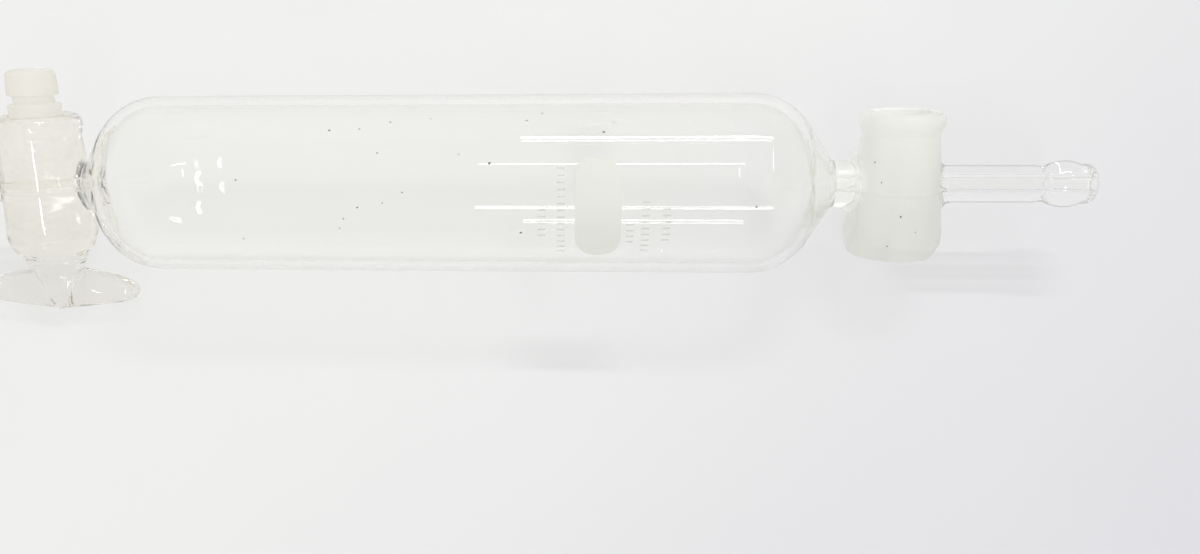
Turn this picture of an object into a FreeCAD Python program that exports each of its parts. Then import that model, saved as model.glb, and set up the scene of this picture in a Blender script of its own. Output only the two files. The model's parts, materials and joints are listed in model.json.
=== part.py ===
"""Gas sampling tube: a blown glass bulb with a stopcock barrel and a hose arm at each end.

The left stopcock still has its glass plug, the right socket is empty.
Every solid is drawn about the tube's axis (X) with the stopcocks across it (Y).
The whole tube is then turned about X until bulb and plug handle both touch the table.
"""
import FreeCAD, Part
import Sketcher
import math
import os
import re

SIZES = {
    # Bulb: cylinder with a coned dome at each end
    "bulb_diameter": 37.0,
    "bulb_wall": 1.9,
    "bulb_length": 137.4,
    "dome_angle": 55.0,
    "shoulder_radius": 13.0,
    "passage_diameter": 2.4,
    "throat_radius": 1.5,
    # Necks between the domes and the stopcock barrels
    "right_neck_diameter": 9.5,
    "right_neck_length": 13.3,
    "right_neck_root": 2.8,
    "left_neck_diameter": 4.0,
    "left_neck_length": 8.6,
    "left_neck_root": 1.2,
    # Stopcock barrels, measured from the tube's axis
    "barrel_top": 14.85,
    "barrel_foot": 14.6,
    "lip_height": 2.6,
    "lip_slope": 1.9,
    "lip_round": 1.9,
    "waist_round": 4.0,
    "foot_start": 9.4,
    "foot_turn": 11.7,
    "foot_round": 2.4,
    "right_lip_diameter": 16.7,
    "right_waist_diameter": 14.3,
    "right_foot_diameter": 19.1,
    "right_end_diameter": 16.4,
    "left_lip_diameter": 18.1,
    "left_waist_diameter": 17.0,
    "left_foot_diameter": 18.5,
    "left_end_diameter": 16.2,
    "ridge_below_axis": 0.8,
    "ridge_radius": 0.9,
    "ridge_height": 0.2,
    # Ground socket, a standard taper of 1 in 10 on the diameter
    "socket_diameter": 12.3,
    "taper_ratio": 10.0,
    "mouth_round": 0.5,
    # Hose arms, measured from the barrel's axis
    "arm_diameter": 7.6,
    "arm_length": 38.5,
    "arm_root": 2.2,
    "pinch_length": 2.4,
    "pinch_diameter": 7.2,
    "olive_length": 6.9,
    "olive_radius": 7.0,
    "tip_length": 2.3,
    "tip_diameter": 8.0,
    "tip_round": 1.3,
    "bore_round": 0.5,
    # Plug
    "plug_clearance": 0.05,
    "plug_hole_diameter": 2.0,
    "tail_reach": 24.4,
    "tail_round": 0.9,
    "groove_near": 17.2,
    "groove_width": 1.8,
    "groove_depth": 1.1,
    "cone_reach": 15.8,
    "stem_reach": 18.0,
    "stem_diameter": 11.9,
    "rib_diameter": 4.6,
    # Handle
    "handle_reach": 23.5,
    "handle_depth": 10.0,
    "handle_thickness": 9.0,
    "handle_width": 36.0,
    "wing_reach": 23.7,
    "wing_depth": 7.8,
    "wing_thickness": 5.8,
    "tip_reach": 24.3,
    "tip_depth": 4.2,
    "tip_thickness": 4.4,
    "handle_edge": 1.4,
    # Fired enamel field on the bulb
    "patch_width": 8.9,
    "patch_arc": 66.0,
    "patch_corner": 4.0,
    "patch_thickness": 0.12,
    "patch_place": 30.4,
    "patch_turn": 6.0,
}

doc = FreeCAD.newDocument("gas_sampling_tube")
sheet = doc.addObject("Spreadsheet::Sheet", "sizes")
for row, (alias, value) in enumerate(SIZES.items(), start=1):
    sheet.set(f"A{row}", alias)
    sheet.set(f"B{row}", str(value))
    sheet.setAlias(f"B{row}", alias)
doc.recompute()


def named(text):
    """Writes every known size name in text as a reference to the sheet."""
    return re.sub(r"[a-z_]+", lambda word: "sizes." * (word[0] in SIZES) + word[0], text)


def value(text):
    """Works out a formula of sizes as a plain number."""
    return float(sheet.evalExpression(named(text)))


# Places along the tube, as formulas of the sizes
BULB_RADIUS = "bulb_diameter / 2"
DOME_SLOPE = "tan(dome_angle * 1 deg)"
SHOULDER_X = "bulb_length / 2"
RIGHT_THROAT_X = f"({SHOULDER_X} + (bulb_diameter - right_neck_diameter) / 2 / {DOME_SLOPE})"
LEFT_THROAT_X = f"({SHOULDER_X} + (bulb_diameter - left_neck_diameter) / 2 / {DOME_SLOPE})"
RIGHT_BARREL_X = f"({RIGHT_THROAT_X} + right_neck_length)"
LEFT_BARREL_X = f"({LEFT_THROAT_X} + left_neck_length)"
INNER_SHOULDER_X = f"({SHOULDER_X} - bulb_wall * tan(dome_angle * 1 deg / 2))"
INNER_THROAT_X = (
    f"({INNER_SHOULDER_X} + (bulb_diameter / 2 - bulb_wall - passage_diameter / 2) / {DOME_SLOPE})"
)


ALONG = FreeCAD.Vector(1, 0, 0)
ACROSS = FreeCAD.Vector(0, 1, 0)


def new_body(label):
    body = doc.addObject("PartDesign::Body", label)
    body.Label = label
    return body


def new_sketch(body, label, plane, shift=None):
    """Adds a sketch on one of the body's own origin planes, moved along X by a formula."""
    sketch = body.newObject("Sketcher::SketchObject", label)
    support = [item for item in body.Origin.OriginFeatures if item.Role == plane][0]
    sketch.AttachmentSupport = (support, [""])
    sketch.MapMode = "FlatFace"
    if shift:
        along_x = "z" if plane == "YZ_Plane" else "x"
        sketch.setExpression(f"AttachmentOffset.Base.{along_x}", named(shift))
    return sketch


def bind_point(sketch, item, end, across, up):
    """Ties one end of a line or arc to the sketch's origin by two formulas."""
    for kind, text in (("DistanceX", across), ("DistanceY", up)):
        index = sketch.addConstraint(Sketcher.Constraint(kind, -1, 1, item, end, value(text)))
        if text != "0":
            sketch.setExpression(f"Constraints[{index}]", named(text))


def draw_outline(sketch, points, arc_after=None, arc_radius=None):
    """Draws a closed outline of straight lines through points given as formulas.

    The side that starts at point arc_after is an arc of arc_radius that bulges outwards.
    """
    places = [FreeCAD.Vector(value(across), value(up), 0) for across, up in points]
    starts = []
    for number, place in enumerate(places):
        following = places[(number + 1) % len(places)]
        if number == arc_after:
            middle = (place + following) / 2
            half = (following - place).Length / 2
            radius = value(arc_radius)
            middle.y += radius - math.sqrt(radius**2 - half**2)
            # Sketch arcs run anticlockwise, so this one starts at its right-hand end
            left_end, right_end = sorted((place, following), key=lambda point: point.x)
            item = sketch.addGeometry(Part.Arc(right_end, middle, left_end), False)
            starts.append((item, 1 if place.x > following.x else 2))
            index = sketch.addConstraint(Sketcher.Constraint("Radius", item, radius))
            sketch.setExpression(f"Constraints[{index}]", named(arc_radius))
        else:
            item = sketch.addGeometry(Part.LineSegment(place, following), False)
            starts.append((item, 1))
    for number, (item, end) in enumerate(starts):
        previous, previous_end = starts[number - 1]
        link = Sketcher.Constraint("Coincident", previous, 3 - previous_end, item, end)
        sketch.addConstraint(link)
        bind_point(sketch, item, end, *points[number])


def draw_circle(sketch, across, up, radius):
    centre = FreeCAD.Vector(value(across), value(up), 0)
    item = sketch.addGeometry(Part.Circle(centre, FreeCAD.Vector(0, 0, 1), value(radius)), False)
    bind_point(sketch, item, 3, across, up)
    index = sketch.addConstraint(Sketcher.Constraint("Radius", item, value(radius)))
    sketch.setExpression(f"Constraints[{index}]", named(radius))


def draw_oval(sketch, across, length, height):
    """Draws an ellipse on the sketch's first axis; length and height are its full sizes."""
    centre = FreeCAD.Vector(value(across), 0, 0)
    long_way = value(length) >= value(height)
    half = (value(length) / 2, value(height) / 2)
    if long_way:
        major = centre + FreeCAD.Vector(half[0], 0, 0)
        minor = centre + FreeCAD.Vector(0, half[1], 0)
    else:
        major = centre + FreeCAD.Vector(0, half[1], 0)
        minor = centre - FreeCAD.Vector(half[0], 0, 0)
    item = sketch.addGeometry(Part.Ellipse(major, minor, centre), False)
    sketch.exposeInternalGeometry(item)
    bind_point(sketch, item, 3, across, "0")
    # The ellipse's two axes are the first two lines that were added after it
    major_axis, minor_axis = item + 1, item + 2
    level = "Horizontal" if long_way else "Vertical"
    sketch.addConstraint(Sketcher.Constraint(level, major_axis))
    for axis_line, text in ((major_axis, length if long_way else height),
                            (minor_axis, height if long_way else length)):
        index = sketch.addConstraint(Sketcher.Constraint("Distance", axis_line, value(text)))
        sketch.setExpression(f"Constraints[{index}]", named(text))


def draw_rounded_rectangle(sketch, half_across, half_up, corner):
    """Draws a rectangle with round corners about the sketch's origin."""
    across_inner, up_inner = f"({half_across} - {corner})", f"({half_up} - {corner})"
    arcs = []
    for quarter, start, end, centre_across in (
        (0, (half_across, up_inner), (across_inner, half_up), across_inner),
        (1, (f"0 - {across_inner}", half_up), (f"0 - {half_across}", up_inner),
         f"0 - {across_inner}"),
        (2, (f"0 - {half_across}", f"0 - {up_inner}"), (f"0 - {across_inner}", f"0 - {half_up}"),
         f"0 - {across_inner}"),
        (3, (across_inner, f"0 - {half_up}"), (half_across, f"0 - {up_inner}"), across_inner),
    ):
        up = up_inner if quarter < 2 else f"0 - {up_inner}"
        centre = FreeCAD.Vector(value(centre_across), value(up), 0)
        circle = Part.Circle(centre, FreeCAD.Vector(0, 0, 1), value(corner))
        turned = math.radians(90 * quarter)
        item = sketch.addGeometry(Part.ArcOfCircle(circle, turned, turned + math.pi / 2), False)
        bind_point(sketch, item, 1, *start)
        bind_point(sketch, item, 2, *end)
        index = sketch.addConstraint(
            Sketcher.Constraint("DistanceX", -1, 1, item, 3, value(centre_across)))
        sketch.setExpression(f"Constraints[{index}]", named(centre_across))
        arcs.append(item)
    for number, arc in enumerate(arcs):
        following = arcs[(number + 1) % 4]
        places = [sketch.getPoint(arc, 2), sketch.getPoint(following, 1)]
        item = sketch.addGeometry(Part.LineSegment(*places), False)
        sketch.addConstraint(Sketcher.Constraint("Coincident", arc, 2, item, 1))
        sketch.addConstraint(Sketcher.Constraint("Coincident", item, 2, following, 1))


def turn(body, kind, label, sketch, axis):
    """Adds a full turn of the sketch, as material or as a cut."""
    feature = body.newObject(f"PartDesign::{kind}", label)
    feature.Profile = sketch
    feature.ReferenceAxis = (sketch, [axis])
    feature.Angle = 360
    return checked(feature)


def checked(feature):
    """Recomputes the document and stops if this feature has failed."""
    doc.recompute()
    failed = "Invalid" in feature.State or "Error" in feature.State
    if failed or feature.Shape.isNull():
        raise RuntimeError(f"{feature.Name} failed: {feature.State}")
    return feature


def circle_edges(feature, centre, radius, axis):
    """Names a feature's edges that lie on the circle of this centre, radius and axis."""
    names = []
    for number, edge in enumerate(feature.Shape.Edges, start=1):
        spokes = [point - centre for point in edge.discretize(5)]
        on_circle = all(abs(spoke.Length - radius) < 0.005 for spoke in spokes)
        if on_circle and all(abs(spoke.dot(axis)) < 0.005 for spoke in spokes):
            names.append(f"Edge{number}")
    return names


def round_edges(body, label, names, radius):
    """Rounds the named edges of the body's last feature."""
    if not names:
        raise ValueError(f"{label} has no edges to round")
    feature = body.newObject("PartDesign::Fillet", label)
    feature.Base = (feature.BaseFeature, names)
    feature.setExpression("Radius", named(radius))
    return checked(feature)


def root_edges(feature, barrel_x, side, barrel_reach, root_reach):
    """Names the edges where a rod along X enters the barrel's outside on the given side."""
    names = []
    for number, edge in enumerate(feature.Shape.Edges, start=1):
        points = edge.discretize(7)
        outward = [side * (point.x - barrel_x) for point in points]
        off_axis = [math.hypot(point.y, point.z) for point in points]
        if 0 < min(outward) and max(outward) < barrel_reach and max(off_axis) < root_reach:
            names.append(f"Edge{number}")
    return names


def barrel_radius(side, height):
    """Gives the formula for a barrel's radius on its cone, at a height above the tube's axis."""
    waist_y = "(barrel_top - lip_height - lip_slope)"
    share = f"({waist_y} - {height}) / ({waist_y} + foot_start)"
    growth = f"({side}_foot_diameter - {side}_waist_diameter)"
    return f"({side}_waist_diameter + {growth} * {share}) / 2"


def add_barrel(body, side, barrel_x):
    """Adds one stopcock barrel: beaded lip, waist, cone and rounded foot."""
    sketch = new_sketch(body, f"{side}_barrel_outline", "YZ_Plane", barrel_x)
    draw_outline(sketch, [
        ("barrel_top", "0"),
        ("barrel_top", f"{side}_lip_diameter / 2"),
        ("barrel_top - lip_height", f"{side}_lip_diameter / 2"),
        ("barrel_top - lip_height - lip_slope", f"{side}_waist_diameter / 2"),
        ("0 - foot_start", f"{side}_foot_diameter / 2"),
        ("0 - foot_turn", f"{side}_foot_diameter / 2"),
        ("0 - barrel_foot", f"{side}_end_diameter / 2"),
        ("0 - barrel_foot", "0"),
    ])
    barrel = turn(body, "Revolution", f"{side}_barrel", sketch, "H_Axis")
    for label, height, diameter, radius in (
        ("lip", "barrel_top", f"{side}_lip_diameter", "lip_round"),
        ("bead", "barrel_top - lip_height", f"{side}_lip_diameter", "lip_round / 2"),
        ("waist", "barrel_top - lip_height - lip_slope", f"{side}_waist_diameter", "waist_round / 2"),
        ("foot", "0 - foot_turn", f"{side}_foot_diameter", "foot_round"),
    ):
        centre = FreeCAD.Vector(value(barrel_x), value(height), 0)
        names = circle_edges(barrel, centre, value(diameter) / 2, ACROSS)
        barrel = round_edges(body, f"{side}_{label}_round", names, radius)


def add_arm(body, side, barrel_x, sign):
    """Adds one hose arm: rod, pinch, olive and plain tip, drawn outwards from the barrel's axis."""
    sketch = new_sketch(body, f"{side}_arm_outline", "XY_Plane", barrel_x)
    tip_start = "arm_length - tip_length"
    olive_start = f"{tip_start} - olive_length"
    draw_outline(sketch, [
        ("0", "0"),
        ("0", "arm_diameter / 2"),
        (f"0 {sign} ({olive_start} - pinch_length)", "arm_diameter / 2"),
        (f"0 {sign} ({olive_start})", "pinch_diameter / 2"),
        (f"0 {sign} ({tip_start})", "tip_diameter / 2"),
        (f"0 {sign} arm_length", "tip_diameter / 2"),
        (f"0 {sign} arm_length", "0"),
    ], arc_after=3, arc_radius="olive_radius")
    arm = turn(body, "Revolution", f"{side}_arm", sketch, "H_Axis")
    centre = FreeCAD.Vector(value(f"{barrel_x} {sign} arm_length"), 0, 0)
    end_edges = circle_edges(arm, centre, value("tip_diameter / 2"), ALONG)
    return round_edges(body, f"{side}_tip_round", end_edges, "tip_round")


# Glass body: bulb, necks, barrels and arms fused into one piece
glass = new_body("glass_body")
bulb_sketch = new_sketch(glass, "bulb_outline", "XY_Plane")
draw_outline(bulb_sketch, [
    (f"0 - {LEFT_BARREL_X}", "0"),
    (f"0 - {LEFT_BARREL_X}", "left_neck_diameter / 2"),
    (f"0 - {LEFT_THROAT_X}", "left_neck_diameter / 2"),
    (f"0 - {SHOULDER_X}", BULB_RADIUS),
    (SHOULDER_X, BULB_RADIUS),
    (RIGHT_THROAT_X, "right_neck_diameter / 2"),
    (RIGHT_BARREL_X, "right_neck_diameter / 2"),
    (RIGHT_BARREL_X, "0"),
])
bulb = turn(glass, "Revolution", "bulb_and_necks", bulb_sketch, "H_Axis")
shoulders = []
for place in (SHOULDER_X, f"0 - {SHOULDER_X}"):
    shoulders += circle_edges(bulb, FreeCAD.Vector(value(place), 0, 0), value(BULB_RADIUS), ALONG)
bulb = round_edges(glass, "shoulders", shoulders, "shoulder_radius")
throat_centre = FreeCAD.Vector(value(RIGHT_THROAT_X), 0, 0)
throat = circle_edges(bulb, throat_centre, value("right_neck_diameter / 2"), ALONG)
round_edges(glass, "right_throat", throat, "throat_radius")

add_barrel(glass, "left", f"0 - {LEFT_BARREL_X}")
add_barrel(glass, "right", RIGHT_BARREL_X)
add_arm(glass, "left", f"0 - {LEFT_BARREL_X}", "-")
fused = add_arm(glass, "right", RIGHT_BARREL_X, "+")

# Fillets of melted glass where necks and arms meet the barrels
for label, barrel_place, side, barrel_side, rod, radius in (
    ("left_arm_root", f"0 - {LEFT_BARREL_X}", -1, "left", "arm_diameter", "arm_root"),
    ("right_arm_root", RIGHT_BARREL_X, 1, "right", "arm_diameter", "arm_root"),
    ("left_neck_fillet", f"0 - {LEFT_BARREL_X}", 1, "left", "barrel_top", "left_neck_root"),
    ("right_neck_fillet", RIGHT_BARREL_X, -1, "right", "right_neck_diameter", "right_neck_root"),
):
    barrel_reach = value(f"{barrel_side}_foot_diameter / 2")
    names = root_edges(fused, value(barrel_place), side, barrel_reach, value(f"{rod} * 0.55"))
    fused = round_edges(glass, label, names, radius)

# A faint raised ring round each barrel, close to the level of the passages
for side, barrel_place in (("left", f"0 - {LEFT_BARREL_X}"), ("right", RIGHT_BARREL_X)):
    ring_sketch = new_sketch(glass, f"{side}_ring_outline", "YZ_Plane", barrel_place)
    ring_radius = barrel_radius(side, "(0 - ridge_below_axis)")
    draw_circle(ring_sketch, "0 - ridge_below_axis", f"{ring_radius} - ridge_radius + ridge_height",
                "ridge_radius")
    fused = turn(glass, "Revolution", f"{side}_ring", ring_sketch, "H_Axis")

# Ground sockets, open at both ends
for side, barrel_place in (("left", f"0 - {LEFT_BARREL_X}"), ("right", RIGHT_BARREL_X)):
    socket_sketch = new_sketch(glass, f"{side}_socket_outline", "YZ_Plane", barrel_place)
    top = "(barrel_top + lip_height)"
    foot = "(barrel_foot + lip_height)"
    draw_outline(socket_sketch, [
        (top, "0"),
        (top, f"(socket_diameter - {top} / taper_ratio) / 2"),
        (f"0 - {foot}", f"(socket_diameter + {foot} / taper_ratio) / 2"),
        (f"0 - {foot}", "0"),
    ])
    fused = turn(glass, "Groove", f"{side}_socket", socket_sketch, "H_Axis")

# The inside: bulb cavity and the fine passage through both necks and arms
cavity_sketch = new_sketch(glass, "cavity_outline", "XY_Plane")
left_end = f"(0 - {LEFT_BARREL_X} - arm_length - tip_length)"
right_end = f"({RIGHT_BARREL_X} + arm_length + tip_length)"
draw_outline(cavity_sketch, [
    (left_end, "0"),
    (left_end, "passage_diameter / 2"),
    (f"0 - {INNER_THROAT_X}", "passage_diameter / 2"),
    (f"0 - {INNER_SHOULDER_X}", "bulb_diameter / 2 - bulb_wall"),
    (INNER_SHOULDER_X, "bulb_diameter / 2 - bulb_wall"),
    (INNER_THROAT_X, "passage_diameter / 2"),
    (right_end, "passage_diameter / 2"),
    (right_end, "0"),
])
fused = turn(glass, "Groove", "cavity", cavity_sketch, "H_Axis")
inner_shoulders = []
for place in (INNER_SHOULDER_X, f"0 - {INNER_SHOULDER_X}"):
    centre = FreeCAD.Vector(value(place), 0, 0)
    inner_shoulders += circle_edges(fused, centre, value("bulb_diameter / 2 - bulb_wall"), ALONG)
fused = round_edges(glass, "inner_shoulders", inner_shoulders, "shoulder_radius - bulb_wall")

# Fire-polished mouths of the sockets and of the hose arms
mouths = []
for barrel_place in (f"0 - {LEFT_BARREL_X}", RIGHT_BARREL_X):
    for height in ("barrel_top", "0 - barrel_foot"):
        centre = FreeCAD.Vector(value(barrel_place), value(height), 0)
        radius = value(f"(socket_diameter - ({height}) / taper_ratio) / 2")
        mouths += circle_edges(fused, centre, radius, ACROSS)
fused = round_edges(glass, "socket_mouths", mouths, "mouth_round")
feet = []
for side, barrel_place in (("left", f"0 - {LEFT_BARREL_X}"), ("right", RIGHT_BARREL_X)):
    centre = FreeCAD.Vector(value(barrel_place), value("0 - barrel_foot"), 0)
    feet += circle_edges(fused, centre, value(f"{side}_end_diameter / 2"), ACROSS)
fused = round_edges(glass, "barrel_feet", feet, "mouth_round")
bores = []
for place in (f"0 - {LEFT_BARREL_X} - arm_length", f"{RIGHT_BARREL_X} + arm_length"):
    centre = FreeCAD.Vector(value(place), 0, 0)
    bores += circle_edges(fused, centre, value("passage_diameter / 2"), ALONG)
round_edges(glass, "bore_mouths", bores, "bore_round")

# Plug: ground cone with a retaining groove in its tail, a stem and a pressed handle
plug = new_body("stopcock_plug")
plug_sketch = new_sketch(plug, "plug_outline", "YZ_Plane")
PLUG_RADIUS = "(socket_diameter / 2 - plug_clearance - ({0}) / taper_ratio / 2)"
groove_far = "(groove_near + groove_width)"
groove_floor = f"{PLUG_RADIUS.format('groove_near')} - groove_depth"
draw_outline(plug_sketch, [
    ("tail_reach", "0"),
    ("tail_reach", PLUG_RADIUS.format("tail_reach")),
    (groove_far, PLUG_RADIUS.format(groove_far)),
    (groove_far, groove_floor),
    ("groove_near", groove_floor),
    ("groove_near", PLUG_RADIUS.format("groove_near")),
    ("0 - cone_reach", PLUG_RADIUS.format("0 - cone_reach")),
    ("0 - stem_reach", "stem_diameter / 2"),
    ("0 - handle_reach", "rib_diameter / 2"),
    ("0 - handle_reach", "0"),
])
turned = turn(plug, "Revolution", "plug_cone_and_stem", plug_sketch, "H_Axis")
tail_edge = circle_edges(turned, FreeCAD.Vector(0, value("tail_reach"), 0),
                         value(PLUG_RADIUS.format("tail_reach")), ACROSS)
round_edges(plug, "tail_end_round", tail_edge, "tail_round")

# The handle is a loft through oval sections from one tip to the other
sections = []
for number, (across, reach, depth, thickness) in enumerate((
    ("0 - handle_width / 2", "tip_reach", "tip_depth", "tip_thickness"),
    ("0 - handle_width / 4", "wing_reach", "wing_depth", "wing_thickness"),
    ("0", "handle_reach", "handle_depth", "handle_thickness"),
    ("handle_width / 4", "wing_reach", "wing_depth", "wing_thickness"),
    ("handle_width / 2", "tip_reach", "tip_depth", "tip_thickness"),
)):
    oval_sketch = new_sketch(plug, f"handle_section_{number}", "YZ_Plane", across)
    draw_oval(oval_sketch, f"0 - {reach}", depth, thickness)
    sections.append(oval_sketch)
doc.recompute()
handle = plug.newObject("PartDesign::AdditiveLoft", "handle")
handle.Profile = sections[0]
handle.Sections = sections[1:]
handle.Ruled = False
checked(handle)
tip_edges = []
for number, edge in enumerate(handle.Shape.Edges, start=1):
    box = edge.BoundBox
    if box.XLength < 0.01 and abs(abs(box.XMin) - value("handle_width / 2")) < 0.01:
        tip_edges.append(f"Edge{number}")
round_edges(plug, "handle_tips", tip_edges, "handle_edge")

# The hole lies along the handle, so the stopcock is open while the handle is in line with the tube
hole_sketch = new_sketch(plug, "plug_hole_outline", "YZ_Plane")
draw_circle(hole_sketch, "0", "0", "plug_hole_diameter / 2")
doc.recompute()
hole = plug.newObject("PartDesign::Pocket", "plug_hole")
hole.Profile = hole_sketch
hole.Type = "ThroughAll"
hole.Midplane = True
checked(hole)

# Enamel field: a strip of thin skin round the bulb, trimmed to a rounded rectangle seen from above
patch = new_body("marking_patch")
patch_sketch = new_sketch(patch, "patch_outline", "XZ_Plane", "patch_place")
draw_outline(patch_sketch, [
    ("0 - patch_width", BULB_RADIUS),
    ("0 - patch_width", f"{BULB_RADIUS} + patch_thickness"),
    ("patch_width", f"{BULB_RADIUS} + patch_thickness"),
    ("patch_width", BULB_RADIUS),
])
strip = patch.newObject("PartDesign::Revolution", "patch_strip")
strip.Profile = patch_sketch
strip.ReferenceAxis = (patch_sketch, ["H_Axis"])
strip.Midplane = True
strip.setExpression("Angle", named("patch_arc * 2 deg"))
checked(strip)
trim_sketch = new_sketch(patch, "patch_trim_outline", "XY_Plane", "patch_place")
draw_outline(trim_sketch, [
    ("0 - patch_width * 2", "0 - bulb_diameter"),
    ("patch_width * 2", "0 - bulb_diameter"),
    ("patch_width * 2", "bulb_diameter"),
    ("0 - patch_width * 2", "bulb_diameter"),
])
half_reach = f"(({BULB_RADIUS} + patch_thickness) * sin(patch_arc / 2 * 1 deg))"
draw_rounded_rectangle(trim_sketch, "patch_width / 2", half_reach, "patch_corner")
doc.recompute()
trim = patch.newObject("PartDesign::Pocket", "patch_trim")
trim.Profile = trim_sketch
trim.Type = "ThroughAll"
trim.Midplane = True
checked(trim)

# Rest: the tube rolls on its bulb until the lowest point of the oval handle touches the table.
# The sine of the tilt solves reach * sine + half height of the tilted oval = bulb radius.
OVAL_TERM = "(handle_reach ^ 2 - (handle_depth / 2) ^ 2 + (handle_thickness / 2) ^ 2)"
ROOT_TERM = (
    f"sqrt((bulb_diameter / 2 * handle_reach) ^ 2"
    f" - {OVAL_TERM} * ((bulb_diameter / 2) ^ 2 - (handle_thickness / 2) ^ 2))"
)
TILT = f"asin((bulb_diameter / 2 * handle_reach - {ROOT_TERM}) / {OVAL_TERM})"
NEAR_SIDE = (
    f"(handle_reach * cos({TILT}) + sqrt((handle_depth / 2 * cos({TILT})) ^ 2"
    f" + (handle_thickness / 2 * sin({TILT})) ^ 2))"
)
TAIL_RADIUS = PLUG_RADIUS.format("tail_reach")
FAR_SIDE = (
    f"((tail_reach - tail_round) * cos({TILT}) + ({TAIL_RADIUS} - tail_round) * sin({TILT})"
    f" + tail_round)"
)
for body, turn_text, shift_text in (
    (glass, TILT, "0"),
    (plug, TILT, f"0 - {LEFT_BARREL_X}"),
    (patch, f"{TILT} + patch_turn * 1 deg", "0"),
):
    body.Placement = FreeCAD.Placement(FreeCAD.Vector(), FreeCAD.Rotation(FreeCAD.Vector(1, 0, 0), 1))
    body.setExpression("Placement.Rotation.Angle", named(turn_text))
    centring = f"({LEFT_BARREL_X} - {RIGHT_BARREL_X}) / 2"
    body.setExpression("Placement.Base.x", named(f"{shift_text} + {centring}"))
    body.setExpression("Placement.Base.y", named(f"({NEAR_SIDE} - {FAR_SIDE}) / 2"))
    body.setExpression("Placement.Base.z", named(BULB_RADIUS))
doc.recompute()

# Every object has to be sound before anything is written
for item in doc.Objects:
    if "Invalid" in item.State or "Error" in item.State:
        raise RuntimeError(f"{item.Name} failed: {item.State}")
os.makedirs("parts", exist_ok=True)
for body in (glass, plug, patch):
    shape = body.Shape
    if shape.isNull() or not shape.isValid() or len(shape.Solids) != 1:
        raise RuntimeError(f"{body.Label} is not one sound solid")
for body in (glass, plug, patch):
    body.Shape.exportStep(f"parts/{body.Label}.step")
    box = body.Shape.optimalBoundingBox()
    print(body.Label, "volume", round(body.Shape.Volume, 1), "faces", len(body.Shape.Faces))
    print("  x", round(box.XMin, 2), round(box.XMax, 2), "y", round(box.YMin, 2), round(box.YMax, 2),
          "z", round(box.ZMin, 2), round(box.ZMax, 2))
print("tilt", round(math.degrees(glass.Placement.Rotation.Angle), 3))
base = glass.Placement.Base
print("tube axis at y", round(base.y, 4), "z", round(base.z, 4), "bulb centre at x", round(base.x, 4))
print("barrels at x", round(base.x - value(LEFT_BARREL_X), 4), round(base.x + value(RIGHT_BARREL_X), 4))
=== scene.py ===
"""Looks of a gas sampling tube: blown clear glass, ground sockets, a plug with a handle, an enamel field.

Lengths are in millimetres in the tube's own frame: x along the tube, s along the stopcock barrels towards
their lips, and h square to both. The last step turns this frame by the barrels' tilt and makes it metres.
"""
import json
import math

import bmesh
import bpy
import numpy as np
from mathutils import Matrix, Vector


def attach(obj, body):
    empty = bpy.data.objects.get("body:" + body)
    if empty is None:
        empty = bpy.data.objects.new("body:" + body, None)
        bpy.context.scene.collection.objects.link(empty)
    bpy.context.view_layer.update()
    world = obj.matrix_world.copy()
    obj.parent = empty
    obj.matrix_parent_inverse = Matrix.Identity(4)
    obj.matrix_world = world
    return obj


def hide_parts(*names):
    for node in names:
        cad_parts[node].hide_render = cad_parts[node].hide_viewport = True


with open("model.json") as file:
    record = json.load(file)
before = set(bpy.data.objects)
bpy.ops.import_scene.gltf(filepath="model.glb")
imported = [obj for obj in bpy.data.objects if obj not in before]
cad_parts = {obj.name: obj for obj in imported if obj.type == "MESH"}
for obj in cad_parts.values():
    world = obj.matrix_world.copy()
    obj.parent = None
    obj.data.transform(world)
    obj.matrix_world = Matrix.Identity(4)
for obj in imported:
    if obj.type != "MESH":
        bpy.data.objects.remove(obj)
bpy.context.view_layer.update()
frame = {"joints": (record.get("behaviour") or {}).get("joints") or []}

# Places that come from the frame: the left stopcock's hinge gives the tilt and the tube's axis
MM = 0.001
hinge = frame["joints"][0]
TILT = math.atan2(-hinge["axis"][2], -hinge["axis"][1])
LEFT_X, AXIS_Y, AXIS_Z = (place / MM for place in hinge["pos_m"])
RIGHT_X = -LEFT_X

# Bulb and passages, with necks by distance from their barrels' axes
BULB_RADIUS = AXIS_Z
WALL = 1.9
DOME_ANGLE = math.radians(55)
DOME_SLOPE = math.tan(DOME_ANGLE)
HALF_LENGTH = 68.7
SHOULDER_ROUND = 13.0
PASSAGE_RADIUS = 1.2
LEFT_NECK = {"radius": 2.0, "length": 8.6, "fillet": 1.2}
RIGHT_NECK = {"radius": 4.75, "length": 13.3, "fillet": 2.8}
THROAT_ROUND = 1.5
PASSAGE_ROUND = 1.2
BULB_X = LEFT_X + LEFT_NECK["length"] + (BULB_RADIUS - LEFT_NECK["radius"]) / DOME_SLOPE + HALF_LENGTH

# Barrels, by distance from the tube's axis, and their ground sockets
BARREL_TOP = 14.85
BARREL_FOOT = -14.6
WAIST_S = 10.35
BEAD_S = 12.25
CONE_FOOT_S = -9.4
FOOT_TURN_S = -11.7
BARRELS = {
    "left": {"x": LEFT_X, "lip": 8.9, "waist": 8.5, "foot": 9.25, "end": 8.1},
    "right": {"x": RIGHT_X, "lip": 8.2, "waist": 7.4, "foot": 9.55, "end": 8.2},
}
SOCKET_RADIUS = 6.15
TAPER = 20.0
SOCKET_EDGE = 0.5

# Roundings of a barrel's outside from foot to lip, how far inside its middle the lip is highest, and the ring
BARREL_ROUNDS = [0.6, 2.4, 2.0, 2.0, 0.95, 1.9]
LIP_CREST = 0.3
RING_S = -0.8
RING_HEIGHT = 0.2
RING_WIDTH = 0.35

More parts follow.
